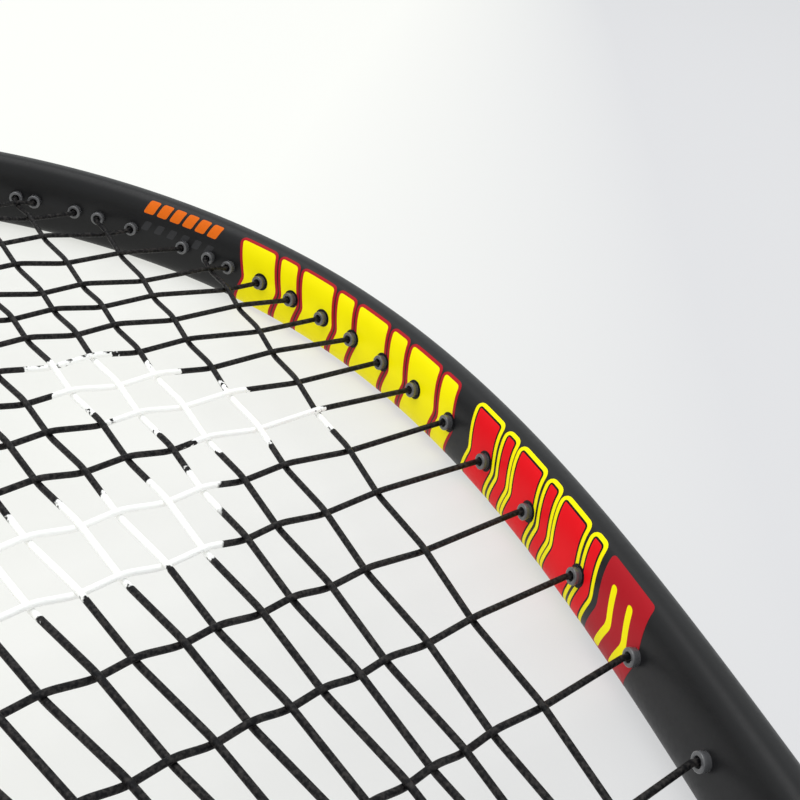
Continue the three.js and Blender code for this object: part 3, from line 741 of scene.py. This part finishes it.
def chevron_outline(start, width, top, bottom, point):
    """A bar across the tube, bent into a chevron that points down the head."""
    middle = (top + bottom) / 2
    return rounded([
        (start, top), (start + width, top), (start + width + point, middle),
        (start + width, bottom), (start, bottom), (start + point, middle)], 1.0)


def ellipse(s, v, half_s, half_v):
    angle = np.arange(28) / 28 * 2 * math.pi
    return np.stack([s + half_s * np.cos(angle), v + half_v * np.sin(angle)], axis=1)


def leaning_mark(start, width, lean, bottom, top, radius):
    end = start + width
    return rounded([(start, bottom), (end, bottom), (end + lean, top), (start + lean, top)], radius)


def print_layers(side):
    """The band as colour -> layers: pairs of yellow bars, pairs of red ones, a dark block, small marks."""
    layers = {colour: [] for colour in INKS}

    def paint(colour, outline, lift):
        layers[colour].append(ink(outline, lift, side))

    for k in range(4):
        for offset, width in YELLOW_PAIR:
            start = YELLOW_START + YELLOW_PITCH * k + offset
            bar = chevron_outline(start, width, PRINT_TOP, PRINT_BOTTOM, 3.2)
            paint("dark_red", grown(bar, 0.8), LIFT_LOW)
            paint("yellow", bar, LIFT_MIDDLE)
    for k in range(3):
        for offset, width in RED_PAIR:
            start = RED_START + RED_PITCH * k + offset
            bar = chevron_outline(start, width, PRINT_TOP + 0.3, PRINT_BOTTOM, 3.0)
            paint("yellow", grown(bar, 0.9), LIFT_LOW)
            paint("black", bar, LIFT_MIDDLE)
            paint("red", grown(bar, -0.4), LIFT_HIGH)
    block = chevron_outline(BLOCK_START, BLOCK_WIDTH, PRINT_TOP + 0.8, PRINT_BOTTOM, 3.0)
    paint("dark_red", block, LIFT_LOW)
    for k in range(2):
        start = BLOCK_START + 4.2 + STROKE_PITCH * k
        stroke = chevron_outline(start, STROKE_WIDTH, PRINT_TOP - 2.6, PRINT_BOTTOM + 2.4, 2.6)
        paint("yellow", stroke, LIFT_MIDDLE)
    # black ellipses round the barrels where they cross the print, darker round each hole
    for hole in CROSS_HOLES:
        if YELLOW_START < hole < BLOCK_START:
            paint("black", ellipse(hole, 0, *DARK_RING_HALVES), LIFT_TOP)
    for k in range(6):
        start = MARKS_START + MARK_PITCH * k
        paint("orange", leaning_mark(start, 2.9, 1.3, 5.2, 8.9, 0.6), LIFT_LOW)
        paint("grey", leaning_mark(start, 2.0, 1.2, 0.6, 3.2, 0.5), LIFT_LOW)
    return layers


def build_print():
    both = [print_layers(side) for side in (1, -1)]
    for colour, material in INKS.items():
        add_piece("print_" + colour, both[0][colour] + both[1][colour], material, None, 60)


# ------------ grommets
STRIP_INNER = TUBE_WIDTH - CHANNEL_DEPTH + GAP
STRIP_OUTER = STRIP_INNER + STRIP_BASE


def barrel_profile(mouth, back, radius, bore):
    """(along, radius) points from the rounded mouth back into the strip; along runs outwards."""
    lip, bore_lip = 0.32, 0.22
    front = [(mouth + lip * (1 - math.sin(a)), radius + 0.06 - lip * (1 - math.cos(a)))
             for a in np.linspace(0, math.pi / 2, 6)]
    inner = [(mouth + bore_lip * (1 - math.cos(a)), bore + bore_lip * (1 - math.sin(a)))
             for a in np.linspace(0, math.pi / 2, 5)]
    shoulder = [(mouth + 1.05, radius - 0.02), (mouth + 0.9, radius + 0.05)]
    return [(back, radius - 0.02), *shoulder, *front, *inner, (back, bore)]


def hoop_barrel(s):
    x, y, nx, ny = (float(v) for v in wall(s))
    profile = barrel_profile(-BARREL_PROUD, STRIP_OUTER - 0.1, BARREL_RADIUS, BORE_RADIUS)
    return lathe((x, y, 0), (nx, ny, 0), profile)


ALL_HOOP_HOLES = ([side * s for s, _, _ in MAINS for side in (-1, 1)]
                  + [side * s for s in CROSS_HOLES for side in (-1, 1)] + [CROSS_TIE_TOP, CROSS_TIE_BOTTOM])


def swept(stations, outline):
    """An (outward, z) outline carried along the wall."""
    return loft([wall_ring(place, outline) for place in zip(*wall(stations))])


def strip_outline(inner, outer, half, corner):
    """(outward, z) points of a flat strip's section."""
    return rounded([(inner, -half), (outer, -half), (outer, half), (inner, half)], corner, 4)


def build_side_strip(name, side):
    outline = strip_outline(STRIP_INNER, STRIP_OUTER, CHANNEL_HALF - GAP, 0.25)
    stations = side * np.linspace(BUMPER_END + GAP, wall_at_y(CROSS_TIE_BOTTOM_Y) + 3, 260)
    barrels = [hoop_barrel(s) for s in ALL_HOOP_HOLES if side * s > BUMPER_END]
    add_piece(name + "_moulding", [swept(stations, outline), *barrels], NYLON, name, 45)


def build_bumper():
    """The tip's guard; the faces after the guard's own belong to its barrels and are of nylon."""
    half, rise = CHANNEL_HALF - GAP, TUBE_WIDTH
    lane = LANE + STRING_RADIUS + 0.2
    upper = [(STRIP_INNER, half), (rise + 0.3, half), (rise - 0.05, 5), (rise - 0.9, 7.1), (rise - 0.35, 7.4),
             (rise + 0.65, 6.5), (rise + 1.5, 3.4), (rise + 1.3, lane), (STRIP_OUTER, lane)]
    outline = rounded(upper + [(n, -z) for n, z in upper[::-1]], 0.35, 4)
    guard = swept(np.linspace(-BUMPER_END, BUMPER_END, 420), outline)
    barrels = [hoop_barrel(s) for s in ALL_HOOP_HOLES if abs(s) < BUMPER_END]
    piece = add_piece("bumper_guard_moulding", [guard, *barrels], BUMPER, "bumper_guard", 45)
    piece.data.materials.append(NYLON)
    for face in piece.data.polygons[len(guard[1]):]:
        face.material_index = 1


THROAT_HOLES = [hole for _, hole, _ in MAINS] + [MAIN_TIE]
THROAT_STRIP_INNER = BRIDGE_WIDTH - BRIDGE_CHANNEL_DEPTH + GAP
THROAT_STRIP_OUTER = THROAT_STRIP_INNER + STRIP_BASE


def build_throat_strip():
    outline = strip_outline(THROAT_STRIP_INNER, THROAT_STRIP_OUTER, BRIDGE_CHANNEL_HALF - GAP, 0.2)
    angles = np.linspace(-THROAT_STRIP_REACH, THROAT_STRIP_REACH, 80)
    strip = loft([bridge_ring(angle, outline) for angle in angles])
    barrels = []
    for hole in THROAT_HOLES:
        back = throat_reach(hole, BRIDGE_RADIUS + THROAT_STRIP_OUTER - 0.1)
        profile = barrel_profile(0, back, THROAT_BARREL_RADIUS, THROAT_BORE_RADIUS)
        solid = lathe(*hole, profile, 24)
        barrels += [solid, mirror(solid)]
    add_piece("throat_strip_moulding", [strip, *barrels], NYLON, "throat_grommet_strip", 45)


# ------------ strings
LANE_OUT = STRIP_OUTER + 0.2 + STRING_RADIUS
THROAT_LANE_RADIUS = BRIDGE_RADIUS + THROAT_STRIP_OUTER + 0.5 + STRING_RADIUS


def turned(points):
    """The route with each corner eased into a curve."""
    points = [np.asarray(p, float) for p in points]
    out = [points[0]]
    for a, p, b in zip(points, points[1:], points[2:]):
        before, after = a - p, b - p
        straight = float(before @ after) / (np.linalg.norm(before) * np.linalg.norm(after)) < -0.999
        if straight:
            out.append(p)
            continue
        start = p + before * min(BEND_RADIUS / np.linalg.norm(before), 0.45)
        end = p + after * min(BEND_RADIUS / np.linalg.norm(after), 0.45)
        out += [(1 - t) ** 2 * start + 2 * t * (1 - t) * p + t * t * end for t in np.linspace(0, 1, 5)]
    return out + [points[-1]]


def channel_run(start, end, z):
    """The run in the outer channel from one hoop hole to the next, in its own lane."""
    lead = math.copysign(CHANNEL_LEAD, end - start)
    count = max(2, math.ceil(abs((end - lead) - (start + lead)) / 2.5))
    run = off_wall(np.linspace(start + lead, end - lead, count), LANE_OUT, z)
    return [off_wall(start, LANE_OUT), *run, off_wall(end, LANE_OUT)]


def woven(start, end, crossings):
    """A string's way over the bed: crossings are (share of the way, height) pairs."""
    start, end = np.asarray(start, float), np.asarray(end, float)
    length = float(np.linalg.norm(end - start))
    share = np.linspace(0, 1, max(int(length), 12))
    places = [0.0, *[t for t, _ in crossings], 1.0]
    heights = [0.0, *[h for _, h in crossings], 0.0]
    spread = np.linspace(-WEAVE_ROUNDING, WEAVE_ROUNDING, 9) / length
    z = np.mean([np.interp(share + shift, places, heights) for shift in spread], axis=0)
    z[[0, -1]] = 0
    line = start + (end - start) * share[:, None]
    line[:, 2] = z
    return list(line)


def main_place(column):
    """Which main a column is, and on which side; columns count from 1 at the right to 14 at the left."""
    return (7 - column, 1) if column <= 7 else (column - 8, -1)


def main_line(column):
    """A main's bend at the tip, its bend at the throat and its place on the wall."""
    i, side = main_place(column)
    s, hole, _ = MAINS[i]
    tip = off_wall(side * s, -BEND_INSET)
    mouth = hole[0] - hole[1] * STRING_LEAD
    return tip, mouth * [side, 1, 1], side * s


def throat_out(column):
    """Where a main comes out of its hole under the bridge."""
    i, side = main_place(column)
    hole = MAINS[i][1]
    return (hole[0] + hole[1] * throat_reach(hole, THROAT_LANE_RADIUS)) * [side, 1, 1]


def main_height(column, row):
    """Height of a main where it meets a cross, whose own height is the opposite: they take turns on top."""
    return WEAVE_HEIGHT if (column + row) % 2 == 1 else -WEAVE_HEIGHT


def on_the_way(share):
    return 0.01 < share < 0.99


def main_crossings(column, start, end):
    shares = (CROSS_YS - start[1]) / (end[1] - start[1])
    return sorted((share, main_height(column, row)) for row, share in enumerate(shares) if on_the_way(share))


def cross_crossings(row, y, start, end):
    out = []
    for column in range(1, 15):
        tip, mouth, _ = main_line(column)
        if tip[1] < y or mouth[1] > y:
            continue
        x = mouth[0] + (tip[0] - mouth[0]) * (y - mouth[1]) / (tip[1] - mouth[1])
        share = (x - start[0]) / (end[0] - start[0])
        if on_the_way(share):
            out.append((share, -main_height(column, row)))
    return sorted(out)


def knot(point):
    """A small tied-off end: three turns of string wound on themselves."""
    angle = np.linspace(0, 3 * 2 * math.pi, 60)
    rise = np.linspace(-KNOT_HALF_LENGTH, KNOT_HALF_LENGTH, 60)
    coil = np.stack([KNOT_RADIUS * np.cos(angle), rise, KNOT_RADIUS * np.sin(angle)], axis=1)
    return tube(np.asarray(point) + coil, STRING_RADIUS * 0.72, 10)


def add_string(name, route, node):
    solids = [tube(turned(route), STRING_RADIUS), knot(route[0]), knot(route[-1])]
    add_piece(name, solids, STRING, node, 60)


def build_main_string():
    """From the left tie-off to the right one: up a main, along the channel, down the next main."""
    tie_in = MAIN_TIE[0] - MAIN_TIE[1] * KNOT_LEAD
    tie_out = MAIN_TIE[0] + MAIN_TIE[1] * throat_reach(MAIN_TIE, THROAT_LANE_RADIUS)
    route = [tie_in * MIRROR_X, tie_out * MIRROR_X]
    for column in range(14, 0, -1):
        tip, mouth, s = main_line(column)
        if column % 2 == 0:
            route += [throat_out(column), *woven(mouth, tip, main_crossings(column, mouth, tip))]
            route += channel_run(s, main_line(column - 1)[2], LANE)
        else:
            route += [*woven(tip, mouth, main_crossings(column, tip, mouth)), throat_out(column)]
    route += [tie_out, tie_in]
    add_string("main_string_woven", route, "main_string")


def build_cross_string():
    """From the tie-off at the tip down to the lowest cross, from side to side."""
    knot_inside = -(BARREL_PROUD + KNOT_LEAD)
    route = [off_wall(CROSS_TIE_TOP, knot_inside), *channel_run(CROSS_TIE_TOP, -CROSS_HOLES[0], -LANE)]
    next_holes = [*CROSS_HOLES[1:], CROSS_TIE_BOTTOM]
    for row, (y, s, after) in enumerate(zip(CROSS_YS, CROSS_HOLES, next_holes)):
        side = -1 if row % 2 == 0 else 1
        start, end = off_wall(side * s, -BEND_INSET), off_wall(-side * s, -BEND_INSET)
        route += woven(start, end, cross_crossings(row, y, start, end))
        route += channel_run(-side * s, -side * after, -LANE)
    route.append(off_wall(CROSS_TIE_BOTTOM, knot_inside))
    add_string("cross_string_woven", route, "cross_string")


# ------------ handle
RING_POINTS = 96


def octagon(half_x, half_z, grow=0.0):
    """(x, z) points of a bevelled rectangle with rounded corners, evenly spaced."""
    x, z = half_x + grow, half_z + grow
    bevel = GRIP_BEVEL + grow * (2 - math.sqrt(2))
    corners = [(x, 0), (x, z - bevel), (x - bevel, z), (bevel - x, z), (-x, z - bevel),
               (-x, bevel - z), (bevel - x, -z), (x - bevel, -z), (x, bevel - z)]
    return even_points(rounded(corners, GRIP_CORNER, 8), RING_POINTS)


def oval_ring(half_x, half_z):
    """(x, z) points of the tube's kind of oval, in the same order as an octagon's."""
    outline = oval(2 * half_x, 2 * half_z, RING_POINTS) - [half_x, 0]
    return np.roll(outline[::-1], -RING_POINTS // 2, axis=0)


def level(outline, y):
    """An (x, z) outline set at a height of the handle."""
    outline = np.asarray(outline, float)
    return np.stack([outline[:, 0], np.full(len(outline), float(y)), outline[:, 1]], axis=1)


def nose_halves(y):
    """Half widths of the handle at a height; it narrows over its nose."""
    share = min(max((y - GRIP_TOP_Y) / (GRIP_NOSE_Y - GRIP_TOP_Y), 0), 1)
    return GRIP_HALF_X - NOSE_DROP_X * share, GRIP_HALF_Z - NOSE_DROP_Z * share


def seam(y, outline):
    """Sink of a wound tape at each point of a ring: each turn laps over the one before."""
    turn = np.mod(y / TAPE_PITCH - np.arctan2(outline[:, 1], outline[:, 0]) / (2 * math.pi), 1.0)
    lap = TAPE_LAP * turn
    edge = TAPE_LAP * (1 - smooth_step(turn, 0.0, 0.045))
    groove = TAPE_GROOVE * np.exp(-(turn / 0.02) ** 2) + TAPE_GROOVE * np.exp(-((turn - 1) / 0.02) ** 2)
    return np.maximum(lap, edge) + groove


def sleeve(name, outer, inner, material, node):
    """A closed sleeve from outer rings going up and inner rings coming back down."""
    add_piece(name, [loft(outer + inner, closed=True)], material, node, 50)


def build_grip_wrap():
    full, plain = OVER_CAP + WRAP_THICKNESS, GAP + WRAP_THICKNESS
    nose_end = GRIP_NOSE_Y + 4
    heights, grows = zip(*[
        (WRAP_START_Y, full - 1.1), (6.2, full - 0.3), (7.2, full), (CAP_LENGTH, full - 0.3),
        (CAP_LENGTH + 6, plain), (GRIP_TOP_Y, plain), (GRIP_NOSE_Y, plain), (nose_end, 1.2)])
    outer = []
    for y in np.arange(WRAP_START_Y, nose_end + 0.01, 0.5):
        ring = octagon(*nose_halves(y), float(np.interp(y, heights, grows)))
        fade = float(smooth_step(y, 6, 12) * (1 - smooth_step(y, GRIP_NOSE_Y - 2, GRIP_NOSE_Y + 2)))
        outer.append(level(grown(ring, -seam(y, ring)[:, None] * fade), y))
    inner = [level(octagon(*nose_halves(y), grow), y)
             for y, grow in ((GRIP_NOSE_Y + 3.8, 0.2), (GRIP_NOSE_Y, GAP), (GRIP_TOP_Y, GAP),
                             (CAP_LENGTH + 1.5, GAP), (CAP_LENGTH + 0.5, OVER_CAP), (5.6, OVER_CAP))]
    sleeve("grip_wrap_tape", outer, inner, GRIP, "grip_wrap")


def build_finishing_tape():
    low, high = GRIP_NOSE_Y + 0.4, GRIP_NOSE_Y + FINISH_LENGTH
    heights = [low, low + 0.4, GRIP_NOSE_Y + 4.3, high - 0.4, high]
    grows = [2.3, 2.6, 1.9, 0.85, 0.6]
    outer = []
    for y in np.arange(low, high + 0.01, 0.2):
        from_middle = abs((y - low) % FINISH_PITCH - FINISH_PITCH / 2)
        ridge = FINISH_RIDGE * float(smooth_step(from_middle, 1.6, FINISH_PITCH / 2))
        outer.append(level(octagon(*nose_halves(y), float(np.interp(y, heights, grows)) - ridge), y))
    inner = [level(octagon(*nose_halves(y), -0.4), y) for y in (high - 0.1, low + 0.1)]
    sleeve("finishing_tape_wound", outer, inner, TAPE, "finishing_tape")


def build_collar():
    heights, halves_x, halves_z = zip(*COLLAR_PROFILE)
    outer = []
    for y in np.arange(0, COLLAR_LENGTH + 0.01, 0.15):
        groove = COLLAR_GROOVE_DEPTH * sum(
            math.exp(-((y - centre) / COLLAR_GROOVE_WIDTH) ** 2) for centre in COLLAR_GROOVES)
        half_x, half_z = (float(np.interp(y, heights, halves)) - groove for halves in (halves_x, halves_z))
        outer.append(level(oval_ring(half_x, half_z), COLLAR_START_Y + y))
    bore = oval_ring(SHAFT_HALF_WIDTH + 0.15, SHAFT_HALF_DEPTH + 0.15)
    inner = [level(bore, COLLAR_START_Y + y) for y in (COLLAR_LENGTH - 0.1, 0.1)]
    sleeve("grip_collar_ribbed", outer, inner, RUBBER, "grip_collar")


def build_butt_cap():
    """From the middle of the end face, over its raised ring and the flare, to the inside and its floor."""
    end = octagon(GRIP_HALF_X, GRIP_HALF_Z, CAP_FLARE - CAP_ROUND)
    face = [(0.02, 0.8), (0.60, 0.8), (0.63, 0.72), (0.65, 0.1), (0.67, 0.0), (0.80, 0.0),
            (0.815, 0.25), (0.845, 0.25), (0.86, 0.0)]
    rim = [(CAP_ROUND * (1 - math.cos(a)), CAP_FLARE - CAP_ROUND * (1 - math.sin(a)))
           for a in np.linspace(0, math.pi / 2, 7)]
    skirt = [(4.5, CAP_FLARE), (5.0, CAP_FLARE - 0.4), (5.2, CAP_GROW), (CAP_LENGTH, CAP_GROW - 0.3),
             (CAP_LENGTH, 0.3), (CAP_FLOOR, 0.3)]
    rings = [level(end * share, y) for share, y in face]
    rings += [level(octagon(GRIP_HALF_X, GRIP_HALF_Z, grow), y) for y, grow in rim + skirt]
    rings.append(level(end * 0.02, CAP_FLOOR))
    add_piece("butt_cap_moulding", [loft(rings)], CAP, "butt_cap", 35)


def dress(node, material):
    """New looks for a CAD node that keeps its shape."""
    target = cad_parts[node]
    target.data.materials.clear()
    target.data.materials.append(material)


# ------------ stage
def floor_material():
    """Pale paper that glows: painted light whose tone falls off towards one corner, a painted falloff of
    light that also washes out the racket's shadows.
    """
    n = Nodes("floor_paper_painted_glow")
    place = n.axes()
    slope = n.math("ADD", n.math("MULTIPLY", place["X"], FLOOR_FALL_X),
                   n.math("MULTIPLY", place["Y"], FLOOR_FALL_Y))
    share = n.ramp(slope, FLOOR_FALL_FROM, FLOOR_FALL_TO, 0.0, 1.0)
    n.colour((0.25, 0.25, 0.25))
    n.roughness(0.9)
    n.shader.inputs["Specular IOR Level"].default_value = 0.1
    # painted light: the floor glows in these colours, dimmer near and brighter far off
    n.feed(n.shader.inputs["Emission Color"], n.mix(share, FLOOR_GLOW_NEAR, FLOOR_GLOW_FAR))
    n.shader.inputs["Emission Strength"].default_value = 1.0
    return n.material


def build_stage():
    """The floor, tilted so that the racket lies on it with its grip and its tip."""
    grip_low = (GRIP_HALF_Z + OVER_CAP + WRAP_THICKNESS) * MM
    tip_low = TUBE_DEPTH / 2 * MM
    corners = [(x * FLOOR_HALF, y * FLOOR_HALF, 0) for x, y in ((-1, -1), (1, -1), (1, 1), (-1, 1))]
    mesh = bpy.data.meshes.new("floor")
    mesh.from_pydata(corners, [], [(0, 1, 2, 3)])
    mesh.materials.append(floor_material())
    floor = bpy.data.objects.new("floor", mesh)
    floor.location = (0, 0.007, -grip_low - 0.0002)
    floor.rotation_euler = (math.atan((grip_low - tip_low) / REST_SPAN), 0, 0)
    bpy.context.scene.collection.objects.link(floor)


def build_light():
    world = bpy.data.worlds.new("studio")
    world.use_nodes = True
    background = world.node_tree.nodes["Background"]
    background.inputs["Color"].default_value = SKY_COLOUR
    background.inputs["Strength"].default_value = SKY_STRENGTH
    bpy.context.scene.world = world
    data = bpy.data.lights.new("overhead", "AREA")
    data.shape = "DISK"
    data.size = LAMP_SIZE
    data.energy = LAMP_POWER
    light = bpy.data.objects.new("overhead", data)
    light.location = LAMP_AT
    light.rotation_euler = [math.radians(angle) for angle in LAMP_TURN]
    bpy.context.scene.collection.objects.link(light)
    bpy.context.scene.view_settings.view_transform = "Standard"


make_camera()
build_stage()
build_light()
build_frame()
build_print()
build_side_strip("grommet_strip_left", -1)
build_side_strip("grommet_strip_right", 1)
build_bumper()
build_throat_strip()
build_main_string()
build_cross_string()
build_grip_wrap()
build_finishing_tape()
build_collar()
build_butt_cap()
dress("pallet_upper", FOAM)
dress("pallet_lower", FOAM)
dress("butt_staple_upper", STEEL)
dress("butt_staple_lower", STEEL)
